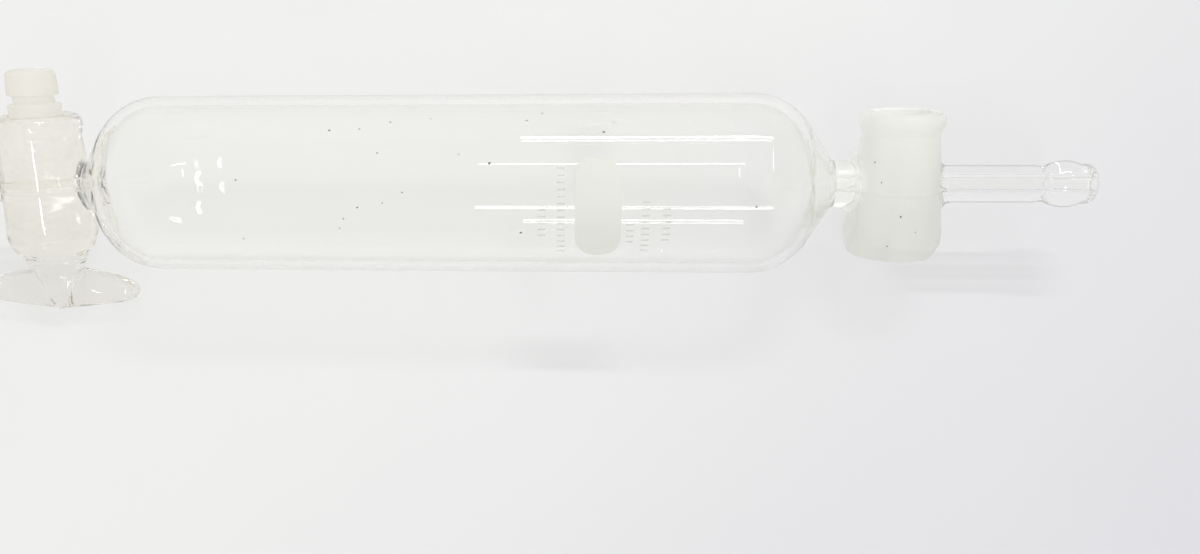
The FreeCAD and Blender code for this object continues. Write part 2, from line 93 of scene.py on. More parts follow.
# Hose arms, by distance from the barrel's axis
ARM_RADIUS = 3.8
ARM_LENGTH = 38.5
ARM_FILLET = 2.2
ARM_END_ROUND = 1.3
THROAT_START = (26.9, ARM_RADIUS)
THROAT_END = (29.0, 3.6)
ARM_THROAT_ROUND = 2.5
OLIVE_START = (29.3, 3.6)
OLIVE_END = (36.2, 4.0)
OLIVE_ROUND = 7.0
OLIVE_LAND = 0.4
BORE_EDGE = 0.5
BORE_MOUTH = 1.6

# Gaps in a barrel's skin, where arms and necks leave it: cells across, half length and half angle
GAP_CELLS = 32
GAP_LENGTH = 8.6
GAP_ANGLE = 77.0
INNER_GAP_LENGTH = 2.1
INNER_GAP_ANGLE = 20.0
BETWEEN_CELLS = 16

# Grid lines across an outer gap: those before, over and after the ring; and where columns stop crowding
RING_ZONE = (-1.9, 0.3)
OUTER_ROWS = (12, 10, 11)
CROWDING_END = 9.5

# Order of the tube's materials on its faces
CLEAR, GROUND, ROD, DUSTY, GREASED = range(5)

# The right end is dusty from storage: a thin film grows along the dome, and a thicker one over the barrel.
# Each has the place along x where it starts, the place where it is full, and how much it covers there.
DOME_DUST = (63.0, 76.0, 0.35)
BARREL_DUST = (77.0, 88.0, 0.6)

# Painted shade and painted light on the milky skins: their colour goes from the first level of brightness to
# the second between two heights along y, darker towards the right barrel's foot. On the bulb's side, from the
# first place along x and less up to the second, they count as lifted, which paints light there.
SHADE_HEIGHTS = (-9.0, 30.0)
SHADE_LEVELS = (0.87, 1.2)
BULB_SIDE = (81.0, 88.0)
BULB_SIDE_LIFT = 26.0

# Rows of faces from a gap's border to its fillet, and over the fillet, and lines from socket to passage
SKIN_ROWS = 10
ARC_ROWS = 12
BORE_LINES = 8

# Turn between the points of an arc, and longest side of a straight run, on each kind of surface
ARC_TURN = math.radians(9)
BULB_TURN = math.radians(4)
HANDLE_TURN = math.radians(12)
NEARLY_STRAIGHT = math.radians(89.9)
BARREL_STEP = 0.7
SOCKET_STEP = 1.2
ARM_STEP = 1.5
BORE_STEP = 2.0
BULB_STEP = 4.0
TAIL_STEP = 1.5
CONE_STEP = 1.2
HANDLE_STEP = 0.35
OLIVE_STEPS = 14

# Where one grid hands over to the next: arms' first lines, passages' ends at either barrel, and clear room
ARM_LINES = (13.0, 14.0)
BORE_ENDS = (6.9, 7.0)
DOME_ROOM = 0.6
NECK_ROOM = 0.4

# Halvings of a search, points nearer than this in metres are one, and edges shorter than this are none
HALVINGS = 40
MERGE_DISTANCE = 2e-6
NO_LENGTH = 1e-7

# Edges that turn by more degrees than this stay sharp
GLASS_SHARP = 50
PRINT_SHARP = 40


def unit(vector):
    """The vector divided by its length."""
    return vector / np.linalg.norm(vector)


def rounded(corners, radii, turn=ARC_TURN):
    """Path through corners, with each inner corner replaced by the arc that touches both of its sides."""
    corners = np.asarray(corners, float)
    path = [corners[:1]]
    for before, corner, after, radius in zip(corners, corners[1:], corners[2:], radii):
        back, on = unit(before - corner), unit(after - corner)
        half = math.acos(np.clip(back @ on, -1, 1)) / 2
        if radius == 0 or half > NEARLY_STRAIGHT:
            path.append(corner[None])
            continue
        centre = corner + unit(back + on) * radius / math.sin(half)
        start = corner + back * radius / math.tan(half) - centre
        end = corner + on * radius / math.tan(half) - centre
        first = math.atan2(start[1], start[0])
        sweep = math.remainder(math.atan2(end[1], end[0]) - first, 2 * math.pi)
        steps = max(2, math.ceil(abs(sweep) / turn))
        angles = first + sweep * np.linspace(0, 1, steps + 1)
        path.append(centre + radius * np.stack([np.cos(angles), np.sin(angles)], 1))
    path.append(corners[-1:])
    return np.concatenate(path)


def arc_between(start, end, radius, steps):
    """Points of the arc of this radius from start to end that bulges to the left of that direction."""
    start, end = np.asarray(start, float), np.asarray(end, float)
    half = np.linalg.norm(end - start) / 2
    along = unit(end - start)
    aside = np.array([-along[1], along[0]])
    centre = (start + end) / 2 - aside * math.sqrt(radius**2 - half**2)
    first = math.asin(half / radius)
    angles = np.linspace(-first, first, steps + 1)[:, None]
    return centre + radius * (np.sin(angles) * along + np.cos(angles) * aside)


def spaced(path, step):
    """The same path with points added, so that no side is longer than step."""
    pieces = []
    for start, end in zip(path, path[1:]):
        count = max(1, math.ceil(np.linalg.norm(end - start) / step))
        pieces.append(start + (end - start) * np.arange(count)[:, None] / count)
    return np.concatenate(pieces + [path[-1:]])


def socket_radius(s):
    """Radius of the ground socket: it narrows by one in twenty towards the lip."""
    return SOCKET_RADIUS - s / TAPER


def barrel_radius(barrel, s):
    """Radius of a barrel's cone between foot and waist, with the faint ring raised as a bell curve."""
    share = (s - CONE_FOOT_S) / (WAIST_S - CONE_FOOT_S)
    cone = barrel["foot"] + (barrel["waist"] - barrel["foot"]) * share
    return cone + RING_HEIGHT * np.exp(-(((s - RING_S) / RING_WIDTH) ** 2))


def gap_loop(rows, angle, radius):
    """Border of the gap round the x axis, as s, h and polar form: four sides of GAP_CELLS points each."""
    turns = np.radians(np.linspace(-angle, angle, GAP_CELLS + 1))
    low, high = rows[0], rows[-1]
    s = np.concatenate([rows[:-1], np.full(GAP_CELLS, high), rows[:0:-1], np.full(GAP_CELLS, low)])
    ends = np.full(GAP_CELLS, turns[-1])
    around = np.concatenate([-ends, turns[:-1], ends, turns[:0:-1]])
    h = radius(s) * np.sin(around)
    return np.hypot(s, h), np.unwrap(np.arctan2(h, s))


def on_barrel(radius, reach, theta):
    """Distance from the barrel's axis, along x, of its skin at a polar place round the tube's axis."""
    s, h = reach * np.cos(theta), reach * np.sin(theta)
    return np.sqrt(np.maximum(radius(s) ** 2 - h**2, 1e-6))


def skin_rows(radius, reach, theta):
    """Rows of (distance along x, reach, angle) on a barrel's or plug's skin of this radius."""
    return np.stack([on_barrel(radius, reach, theta), reach, np.broadcast_to(theta, reach.shape)], -1)


def outer_rows():
    """Places along s of the grid lines across an outer gap, closer together over the ring."""
    return np.concatenate([
        np.linspace(-GAP_LENGTH, RING_ZONE[0], OUTER_ROWS[0], endpoint=False),
        np.linspace(*RING_ZONE, OUTER_ROWS[1], endpoint=False),
        np.linspace(RING_ZONE[1], GAP_LENGTH, OUTER_ROWS[2]),
    ])


def inner_rows():
    """Evenly spaced places along s of the grid lines across an inner gap."""
    return np.linspace(-INNER_GAP_LENGTH, INNER_GAP_LENGTH, GAP_CELLS + 1)


def fillet_rows(barrel, rod_line, fillet):
    """Rows of (distance along x, reach) from a barrel's outer gap, over the melted fillet, to the rod.

    In each plane through the tube's axis the fillet is the circle of its radius that touches the rod's
    line and the barrel's tangent; where it leaves the barrel is found by halving.
    """
    def radius(s):
        """The barrel's radius at s."""
        return barrel_radius(barrel, s)

    slope, offset = rod_line
    rod = np.array([1.0, slope]) / math.hypot(1, slope)

    def corner(reach):
        """Where the barrel's tangent at this reach meets the rod's line, how far off, and at which angle."""
        step = 0.01
        out = on_barrel(radius, reach, theta)
        lean = (on_barrel(radius, reach + step, theta) - out) / step
        meet = (offset + slope * (out - lean * reach)) / (1 - slope * lean)
        x = out + lean * (meet - reach)
        tangent = (reach - meet) * np.hypot(1, lean)
        angle = np.arccos(np.clip((rod[0] * lean + rod[1]) / np.hypot(1, lean), -1, 1))
        return x, meet, out, tangent, angle

    border, theta = gap_loop(outer_rows(), GAP_ANGLE, radius)
    nearest, inset = 0.5, 0.05
    low, high = np.full(theta.shape, nearest), border - inset
    for _ in range(HALVINGS):
        middle = (low + high) / 2
        x, meet, out, tangent, angle = corner(middle)
        wide = tangent * np.tan(angle / 2) > fillet
        low, high = np.where(wide, low, middle), np.where(wide, middle, high)
    x, meet, out, tangent, angle = corner(low)
    shares = np.linspace(0, 1, SKIN_ROWS + 1)[:, None]
    reach = border + (low - border) * shares
    rows = [skin_rows(radius, reach, theta)]
    weight = np.sin(angle / 2)
    steps = np.linspace(0, 1, ARC_ROWS + 1)[1:, None]
    parts = ((1 - steps) ** 2, 2 * weight * steps * (1 - steps), steps**2)
    total = sum(parts)
    end = (x + rod[0] * tangent, meet + rod[1] * tangent)
    along = (parts[0] * out + parts[1] * x + parts[2] * end[0]) / total
    reach = (parts[0] * low + parts[1] * meet + parts[2] * end[1]) / total
    rows.append(np.stack([along, reach, np.broadcast_to(theta, reach.shape)], -1))
    return np.concatenate(rows)


def bore_rows():
    """Rows from an inner gap in the ground socket to the edge of the fine passage."""
    border, theta = gap_loop(inner_rows(), INNER_GAP_ANGLE, socket_radius)
    reach = border + (PASSAGE_RADIUS - border) * np.linspace(0, 1, BORE_LINES)[:, None]
    return skin_rows(socket_radius, reach, theta)


def rod_rows(path, first_theta, last_theta):
    """Rows of a turned path, while the columns drift from one set of angles to another."""
    share = np.linspace(0, 1, len(path))[:, None]
    share = share * share * (3 - 2 * share)
    theta = first_theta + (last_theta - first_theta) * share
    distance, reach = (np.broadcast_to(path[:, side:side + 1], theta.shape) for side in (0, 1))
    return np.stack([distance, reach, theta], -1)


def about_tube(rows, barrel_x, side):
    """Turns rows of (distance, reach, angle) about the tube's axis into points (x, s, h)."""
    distance, reach, theta = np.moveaxis(rows, -1, 0)
    return np.stack([barrel_x + side * distance, reach * np.cos(theta), reach * np.sin(theta)], -1)


def grid_faces(rows, columns, kept=None):
    """Corner numbers of the faces of a grid whose columns close up; kept leaves some of them out."""
    row, column = np.meshgrid(np.arange(rows - 1), np.arange(columns), indexing="ij")
    following = (column + 1) % columns
    corners = [row * columns + column, row * columns + following]
    corners += [(row + 1) * columns + following, (row + 1) * columns + column]
    faces = np.stack(corners, -1)
    return faces.reshape(-1, 4) if kept is None else faces[kept]


def in_frame(points):
    """Turns points (x, s, h) in millimetres into the row frame, in metres."""
    x, s, h = np.moveaxis(np.asarray(points, float), -1, 0)
    y = AXIS_Y + s * math.cos(TILT) - h * math.sin(TILT)
    z = AXIS_Z + s * math.sin(TILT) + h * math.cos(TILT)
    return np.stack([x, y, z], -1) * MM


def closed_mesh(name, grids, sharp_angle):
    """Joins grids of (points, faces, slot) into one closed mesh with its faces turned outwards."""
    points, faces, slots, count = [], [], [], 0
    for grid_points, grid_quads, slot in grids:
        flat = in_frame(grid_points).reshape(-1, 3)
        points.append(flat)
        faces.append(grid_quads + count)
        slots.append(np.broadcast_to(slot, len(grid_quads)))
        count += len(flat)
    mesh = bpy.data.meshes.new(name)
    mesh.from_pydata(np.concatenate(points), [], np.concatenate(faces))
    mesh.polygons.foreach_set("material_index", np.concatenate(slots).astype(np.int32))
    work = bmesh.new()
    work.from_mesh(mesh)
    bmesh.ops.remove_doubles(work, verts=work.verts, dist=MERGE_DISTANCE)
    bmesh.ops.dissolve_degenerate(work, edges=work.edges, dist=NO_LENGTH)
    bmesh.ops.recalc_face_normals(work, faces=work.faces)
    work.to_mesh(mesh)
    work.free()
    mesh.polygons.foreach_set("use_smooth", np.ones(len(mesh.polygons), bool))
    mesh.set_sharp_from_angle(angle=math.radians(sharp_angle))
    piece = bpy.data.objects.new(name, mesh)
    bpy.context.scene.collection.objects.link(piece)
    return piece


def barrel_columns():
    """Angles about a barrel's axis of its grid's columns, over the outer gaps and over the inner gaps."""
    sets = []
    for angle in (GAP_ANGLE, INNER_GAP_ANGLE):
        gap = np.linspace(-angle, angle, GAP_CELLS + 1)
        between = np.linspace(angle, 180 - angle, BETWEEN_CELLS + 1)[1:-1]
        sets.append(np.radians(np.concatenate([gap, between, gap + 180, between + 180])))
    return sets


def barrel_grid(barrel, skin, socket_skin):
    """A barrel's skin turned about its own axis: up the outside, round the lip, down the ground socket.

    The cells over the four gaps are left out, and the columns crowd together towards the inner ones.
    """
    x, top, foot = barrel["x"], BARREL_TOP, BARREL_FOOT
    outline = rounded([
        (foot, (socket_radius(foot) + barrel["end"]) / 2),
        (foot, barrel["end"]),
        (FOOT_TURN_S, barrel["foot"]),
        (CONE_FOOT_S, barrel["foot"]),
        (WAIST_S, barrel["waist"]),
        (BEAD_S, barrel["lip"]),
        (top, barrel["lip"]),
        (top, (socket_radius(top) + barrel["lip"]) / 2 - LIP_CREST),
    ], BARREL_ROUNDS)
    below = spaced(outline[outline[:, 0] < -GAP_LENGTH], BARREL_STEP)
    above = spaced(outline[outline[:, 0] > GAP_LENGTH], BARREL_STEP)
    across = outer_rows()
    outside = np.concatenate([below, np.stack([across, barrel_radius(barrel, across)], 1), above])
    socket = rounded([
        outline[-1],
        (top, socket_radius(top)),
        (foot, socket_radius(foot)),
        outline[0],
    ], [SOCKET_EDGE, SOCKET_EDGE])
    bare = np.abs(socket[:, 0]) > INNER_GAP_LENGTH
    upper = spaced(socket[bare & (socket[:, 0] > 0)], SOCKET_STEP)
    lower = spaced(socket[bare & (socket[:, 0] < 0)], SOCKET_STEP)
    fine = inner_rows()[::-1]
    middle = np.stack([fine, socket_radius(fine)], 1)
    near_upper = spaced(np.array([upper[-1], middle[0]]), SOCKET_STEP)[1:-1]
    near_lower = spaced(np.array([middle[-1], lower[0]]), SOCKET_STEP)[1:-1]
    inside = np.concatenate([upper[1:], near_upper, middle, near_lower, lower])
    path = np.concatenate([outside, inside])
    crowding = np.concatenate([
        np.zeros(len(outside)),
        np.clip((CROWDING_END - np.abs(inside[:, 0])) / (CROWDING_END - INNER_GAP_LENGTH), 0, 1),
    ])[:, None]
    crowding = crowding * crowding * (3 - 2 * crowding)
    wide, narrow = barrel_columns()
    turns = wide + (narrow - wide) * crowding
    radius = path[:, 1:]
    points = np.stack([
        x + radius * np.cos(turns),
        np.broadcast_to(path[:, :1], turns.shape),
        radius * np.sin(turns),
    ], -1)
    kept = np.ones((len(path) - 1, len(wide)), bool)
    opposite = GAP_CELLS + BETWEEN_CELLS
    for first in (len(below), len(outside) + len(upper) - 1 + len(near_upper)):
        for column in (0, opposite):
            kept[first:first + GAP_CELLS, column:column + GAP_CELLS] = False
    slots = np.full(kept.shape, skin)
    shiny_lip = 3
    slots[len(outside) + shiny_lip:-shiny_lip] = socket_skin
    return points, grid_faces(len(path), len(wide), kept), slots[kept]


def tube_grids():
    """Every grid of the glass body: the two barrels, the two arms, and the bulb's outside and inside."""
    grids = [barrel_grid(BARRELS["left"], CLEAR, GREASED), barrel_grid(BARRELS["right"], DUSTY, GROUND)]
    bore = bore_rows()
    bore_theta = bore[-1, :, 2]
    ground_rows = len(bore) - 1
    arm_path = np.concatenate([
        [(ARM_LINES[0], ARM_RADIUS)],
        rounded([(ARM_LINES[1], ARM_RADIUS), THROAT_START, THROAT_END, OLIVE_START], [ARM_THROAT_ROUND, 0]),
        arc_between(OLIVE_START, OLIVE_END, OLIVE_ROUND, OLIVE_STEPS)[1:],
        rounded([
            (OLIVE_END[0] + OLIVE_LAND, OLIVE_END[1]),
            (ARM_LENGTH, OLIVE_END[1]),
            (ARM_LENGTH, PASSAGE_RADIUS),
            (ARM_LENGTH - BORE_MOUTH, PASSAGE_RADIUS),
        ], [ARM_END_ROUND, BORE_EDGE]),
    ])
    arm_path = spaced(arm_path, ARM_STEP)
    passage = [(ARM_LENGTH - BORE_MOUTH, PASSAGE_RADIUS), (BORE_ENDS[1], PASSAGE_RADIUS)]
    inside = spaced(np.array(passage), BORE_STEP)[1:]
    for name, side, skin, socket_skin in (("left", -1, CLEAR, GREASED), ("right", 1, DUSTY, GROUND)):
        start = fillet_rows(BARRELS[name], (0.0, ARM_RADIUS), ARM_FILLET)
        rows = np.concatenate([
            start,
            rod_rows(np.concatenate([arm_path, inside]), start[-1, :, 2], bore_theta),
            bore[::-1],
        ])
        slots = np.full(len(rows) - 1, ROD)
        slots[:SKIN_ROWS + 2] = skin
        slots[-ground_rows:] = socket_skin
        faces = grid_faces(*rows.shape[:2])
        grids.append((about_tube(rows, BARRELS[name]["x"], side), faces, np.repeat(slots, rows.shape[1])))
    grids.append(bulb_outside())
    grids.append(bulb_inside(bore))
    return grids


def bulb_outside():
    """The bulb's outside from barrel to barrel: cone, shoulder, cylinder, shoulder, cone and neck."""
    left_line = (DOME_SLOPE, LEFT_NECK["radius"] - DOME_SLOPE * LEFT_NECK["length"])
    left = fillet_rows(BARRELS["left"], left_line, LEFT_NECK["fillet"])
    right = fillet_rows(BARRELS["right"], (0.0, RIGHT_NECK["radius"]), RIGHT_NECK["fillet"])
    clear_radius = left[-1, :, 1].max() + DOME_ROOM
    first_x = LEFT_X + LEFT_NECK["length"] + (clear_radius - LEFT_NECK["radius"]) / DOME_SLOPE
    path = rounded([
        (first_x, clear_radius),
        (BULB_X - HALF_LENGTH, BULB_RADIUS),
        (BULB_X + HALF_LENGTH, BULB_RADIUS),
        (RIGHT_X - RIGHT_NECK["length"], RIGHT_NECK["radius"]),
        (RIGHT_X - right[-1, :, 0].max() - NECK_ROOM, RIGHT_NECK["radius"]),
    ], [SHOULDER_ROUND, SHOULDER_ROUND, THROAT_ROUND], BULB_TURN)
    path = spaced(path, BULB_STEP)
    body = rod_rows(path, left[-1, :, 2], right[-1, :, 2])
    body[..., 0] -= LEFT_X
    right[..., 0] = RIGHT_X - LEFT_X - right[..., 0]
    rows = np.concatenate([left, body, right[::-1]])
    dome_rows = int(np.sum(path[:, 0] > DOME_DUST[0]))
    slots = np.full(len(rows) - 1, CLEAR)
    slots[-SKIN_ROWS - ARC_ROWS - dome_rows:] = DUSTY
    return about_tube(rows, LEFT_X, 1), grid_faces(*rows.shape[:2]), np.repeat(slots, rows.shape[1])


def bulb_inside(bore):
    """The gas space: bore, cone, shoulder, cylinder and back, at one wall's thickness from the outside."""
    inner_radius = BULB_RADIUS - WALL
    inner_half = HALF_LENGTH - WALL * math.tan(DOME_ANGLE / 2)
    throat = inner_half + (inner_radius - PASSAGE_RADIUS) / DOME_SLOPE
    path = rounded([
        (LEFT_X + BORE_ENDS[0], PASSAGE_RADIUS),
        (BULB_X - throat, PASSAGE_RADIUS),
        (BULB_X - inner_half, inner_radius),
        (BULB_X + inner_half, inner_radius),
        (BULB_X + throat, PASSAGE_RADIUS),
        (RIGHT_X - BORE_ENDS[1], PASSAGE_RADIUS),
    ], [PASSAGE_ROUND, SHOULDER_ROUND - WALL, SHOULDER_ROUND - WALL, PASSAGE_ROUND], BULB_TURN)
    path = spaced(path, BULB_STEP)
    theta = bore[-1, :, 2]
    body = rod_rows(path, theta, theta)
    body[..., 0] -= LEFT_X
    right = bore.copy()
    right[..., 0] = RIGHT_X - LEFT_X - right[..., 0]
    rows = np.concatenate([bore, body, right[::-1]])
    slots = np.full(len(rows) - 1, CLEAR)
    slots[:len(bore) - 1] = GREASED
    slots[-(len(bore) - 1):] = GROUND
    return about_tube(rows, LEFT_X, 1), grid_faces(*rows.shape[:2]), np.repeat(slots, rows.shape[1])


# Plug, by distance from the tube's axis: ground cone with a grooved tail, then stem and handle
GREASE_FILM = 0.05
PLUG_GROUND_END = -15.8
TAIL_END = 24.4
GROOVE = (17.2, 19.0)
GROOVE_DEPTH = 1.1
TAIL_ROUNDS = [1.5, 0.35, 0.3, 0.3, 0.35]
STEM_START = -17.2
STEM_S = -17.6
STEM_RADIUS = 5.95
STEM_ROUNDS = [0.8, 0.8]

# The plug's hole, and the gap for it in the grid: cells across and between, half length and half angle
PLUG_HOLE = 1.0
HOLE_LINES = 5
PLUG_GAP_CELLS = 12
PLUG_BETWEEN = 28
PLUG_GAP = 1.7
PLUG_GAP_ANGLE = 16.0

# Order of the plug's materials on its faces, after the handle's clear glass
PLUG_GROUND, PLUG_GREASED = 1, 2

# Handle's wings: reach, middle and its fall at the tip, half depth and half thickness with what the tip lacks
WING = 18.0
WING_S = -23.5
WING_FALL = 0.8
WING_DEPTH = (5.0, 1.5, 1.4)
WING_THICKNESS = (3.3, 1.1)
TIP_SHARPNESS = 12

# Handle's wedge: loss of half width for each millimetre down, least half width, end, and the depth and loss
# of half thickness of its upper part, the length over which the lower part rounds off, and the creases' width
WEDGE_SLOPE = 0.56
WEDGE_EDGE = 0.3
WEDGE_END = -28.0
WEDGE_DEPTH = 5.9
WEDGE_LOSS = 1.45
WEDGE_ROUND = 5.0
CREASE = 0.9

# Handle's outline from the stem to the middle of its end, as (x, s), with the rounding of each inner corner
HANDLE_OUTLINE = [
    (STEM_RADIUS, STEM_S), (STEM_RADIUS, -18.9), (17.4, -21.6), (18.6, -24.2), (17.0, -26.6), (6.0, -28.3),
    (0.0, -28.6),
]
HANDLE_ROUNDS = [1.5, 1.2, 1.5, 1.2, 2.0]


def plug_radius(s):
    """Radius of the plug's ground cone, which leaves a film of grease in the socket."""
    return socket_radius(s) - GREASE_FILM


def handle_gap(x, s, h):
    """Below nought inside the handle: two pressed wings, smoothly joined to the wedge that the stem ends in.

    A wing is a string of ovals along x. The wedge is oval across the plug and its half width shrinks by
    WEDGE_SLOPE towards the bottom, which leaves the creases that the pressing tool leaves.
    """
    across = np.abs(x) / WING
    depth = WING_DEPTH[0] - WING_DEPTH[1] * across - WING_DEPTH[2] * across**2
    thick = WING_THICKNESS[0] - WING_THICKNESS[1] * across
    beyond = 1.5
    tip = np.minimum(across, beyond) ** TIP_SHARPNESS
    oval = ((s - WING_S + WING_FALL * across**2) / depth) ** 2 + (h / thick) ** 2 + tip
    wing = (np.sqrt(oval) - 1) * np.minimum(depth, thick)
    down = STEM_S - s
    half_width = np.maximum(STEM_RADIUS - WEDGE_SLOPE * down, WEDGE_EDGE)
    flattest = 0.999
    low_share = np.clip((down - WEDGE_DEPTH) / WEDGE_ROUND, 0, flattest)
    half_thick = STEM_RADIUS - WEDGE_LOSS * np.clip(down / WEDGE_DEPTH, 0, 1)
    half_thick = half_thick * np.sqrt(1 - low_share**2)
    wedge = (np.hypot(x / half_width, h / half_thick) - 1) * np.minimum(half_width, half_thick)
    wedge = np.maximum(wedge, WEDGE_END - s)
    mix = np.clip(0.5 + 0.5 * (wedge - wing) / CREASE, 0, 1)
    return wedge + (wing - wedge) * mix - CREASE * mix * (1 - mix)


def handle_rows(turns):
    """The handle's skin: rays from the plug's axis, and on each the place where handle_gap is nought.

    The rays aim at the silhouette, drop along the axis as they go round the handle, and the place is
    found by halving.
    """
    silhouette = spaced(rounded(HANDLE_OUTLINE, HANDLE_ROUNDS, HANDLE_TURN), HANDLE_STEP)[1:]
    share = np.linspace(0, 1, len(silhouette))[:, None]
    first_drop, further_drop, drop_power, thinning = 0.2, 5.8, 1.2, 1.2
    origin = STEM_S - first_drop - further_drop * share**drop_power
    thickness = np.minimum(silhouette[:, :1], STEM_RADIUS - thinning * share)
    way = np.stack([
        silhouette[:, :1] * np.cos(turns),
        np.broadcast_to(silhouette[:, 1:] - origin, (len(silhouette), len(turns))),
        thickness * np.sin(turns),
    ])
    farthest = 2.5
    low, high = np.zeros(way.shape[1:]), np.full(way.shape[1:], farthest)
    for _ in range(HALVINGS):
        middle = (low + high) / 2
        inside = handle_gap(way[0] * middle, origin + way[1] * middle, way[2] * middle) < 0
        low, high = np.where(inside, middle, low), np.where(inside, high, middle)
    points = np.stack([way[0] * low, origin + way[1] * low, way[2] * low], -1)
    points[-1] = points[-1].mean(0)
    return points


def plug_grids():
    """The plug's skin: tail and cone turned about its axis, the handle, and the hole through the cone."""
    gap = np.linspace(-PLUG_GAP_ANGLE, PLUG_GAP_ANGLE, PLUG_GAP_CELLS + 1)
    between = np.linspace(PLUG_GAP_ANGLE, 180 - PLUG_GAP_ANGLE, PLUG_BETWEEN + 1)[1:-1]
    turns = np.radians(np.concatenate([gap, between, gap + 180, between + 180]))
    floor = plug_radius(GROOVE[0]) - GROOVE_DEPTH
    tail = rounded([
        (TAIL_END, 0.0),
        (TAIL_END, plug_radius(TAIL_END)),
        (GROOVE[1], plug_radius(GROOVE[1])),
        (GROOVE[1], floor),
        (GROOVE[0], floor),
        (GROOVE[0], plug_radius(GROOVE[0])),
        (PLUG_GAP, plug_radius(PLUG_GAP)),
    ], TAIL_ROUNDS)
    tail = spaced(tail, TAIL_STEP)[:-1]
    across = np.linspace(PLUG_GAP, -PLUG_GAP, PLUG_GAP_CELLS + 1)
    foot = spaced(rounded([
        (-PLUG_GAP, plug_radius(-PLUG_GAP)),
        (PLUG_GROUND_END, plug_radius(PLUG_GROUND_END)),
        (STEM_START, STEM_RADIUS),
        (STEM_S, STEM_RADIUS),
    ], STEM_ROUNDS), CONE_STEP)[1:]
    path = np.concatenate([tail, np.stack([across, plug_radius(across)], 1), foot])
    cone = np.stack([
        path[:, 1:] * np.cos(turns),
        np.broadcast_to(path[:, :1], (len(path), len(turns))),
        path[:, 1:] * np.sin(turns),
    ], -1)
    points = np.concatenate([cone, handle_rows(turns)])
    opposite = PLUG_GAP_CELLS + PLUG_BETWEEN
    kept = np.ones((len(points) - 1, len(turns)), bool)
    for column in (0, opposite):
        kept[len(tail):len(tail) + PLUG_GAP_CELLS, column:column + PLUG_GAP_CELLS] = False
    ground = np.zeros(kept.shape, int)
    ground[:len(tail) + PLUG_GAP_CELLS + int(np.sum(foot[:, 0] > PLUG_GROUND_END))] = PLUG_GREASED
    dry_from = BARREL_TOP - 0.5
    ground[:int(np.sum(tail[:, 0] > dry_from))] = PLUG_GROUND
    points[..., 0] += LEFT_X
    skin = (points, grid_faces(*points.shape[:2], kept), ground[kept])

    rows = across[::-1]
    turns = np.radians(gap)
    ends = np.full(PLUG_GAP_CELLS, turns[-1])
    s = np.concatenate([rows[:-1], np.full(PLUG_GAP_CELLS, PLUG_GAP), rows[:0:-1],
                        np.full(PLUG_GAP_CELLS, -PLUG_GAP)])
    h = plug_radius(s) * np.sin(np.concatenate([-ends, turns[:-1], ends, turns[:0:-1]]))
    border, theta = np.hypot(s, h), np.arctan2(h, s)
    reach = border + (PLUG_HOLE - border) * np.linspace(0, 1, HOLE_LINES)[:, None]
    half = skin_rows(plug_radius, reach, theta)
    rows = np.concatenate([half, half[::-1] * (-1, 1, 1)])
    hole = (about_tube(rows, LEFT_X, 1), grid_faces(*rows.shape[:2]), PLUG_GREASED)
    return [skin, hole]


def linear(hex_colour):
    """Linear red, green and blue of an sRGB hex colour."""
    parts = [int(hex_colour[place:place + 2], 16) / 255 for place in (1, 3, 5)]
    return tuple(c / 12.92 if c <= 0.04045 else ((c + 0.055) / 1.055) ** 2.4 for c in parts)


def add_node(tree, kind, values=None, **settings):
    """Adds a node; values fill its inputs by name or number, a socket links and anything else is set."""
    node = tree.nodes.new(kind)
    for name, value in settings.items():
        setattr(node, name, value)
    for name, value in (values or {}).items():
        if isinstance(value, bpy.types.NodeSocket):
            tree.links.new(value, node.inputs[name])
        else:
            node.inputs[name].default_value = value
    return node


def new_material(name):
    """An empty material of this name, and its node tree."""
    material = bpy.data.materials.new(name)
    material.use_nodes = True
    material.node_tree.nodes.clear()
    return material, material.node_tree


BOROSILICATE_IOR = 1.473

# How much light one skin of glass lets through, square on and at its rim: first lamp light, then room light
THIN_SHADE = ((0.985, 0.84), (1.0, 0.985))
ROD_SHADE = ((0.84, 0.45), (0.975, 0.86))
CLOUDY_SHADE = ((0.94, 0.78), (0.995, 0.96))
HANDLE_SHADE = ((0.96, 0.75), (1.0, 0.96))


def finish_glass(tree, surface, shade):
    """Lets room and lamp light through to what lies behind: such rays see a pane that takes a little away.

    The pane is darker at grazing rims, so the glass still casts its pale shadow with darker edges.
    """
    path = add_node(tree, "ShaderNodeLightPath")
    facing = add_node(tree, "ShaderNodeLayerWeight", {"Blend": 0.35})
    seen = surface
    for kind, (square, rim) in zip(("Is Shadow Ray", "Is Diffuse Ray"), shade):
        tone = add_node(tree, "ShaderNodeMix", {
            0: facing.outputs["Facing"], 6: (square, square, square, 1), 7: (rim, rim, rim, 1),
        }, data_type="RGBA")
        pane = add_node(tree, "ShaderNodeBsdfTransparent", {"Color": tone.outputs[2]})
        mixed = add_node(tree, "ShaderNodeMixShader", {0: path.outputs[kind], 1: seen, 2: pane.outputs[0]})
        seen = mixed.outputs[0]
    add_node(tree, "ShaderNodeOutputMaterial", {"Surface": seen})


def object_noise(tree, scale, detail):
    """Noise that stays on the piece; scale counts its waves in a metre."""
    place = add_node(tree, "ShaderNodeTexCoord")
    return add_node(tree, "ShaderNodeTexNoise", {
        "Vector": place.outputs["Object"], "Scale": scale, "Detail": detail,
    }).outputs["Fac"]


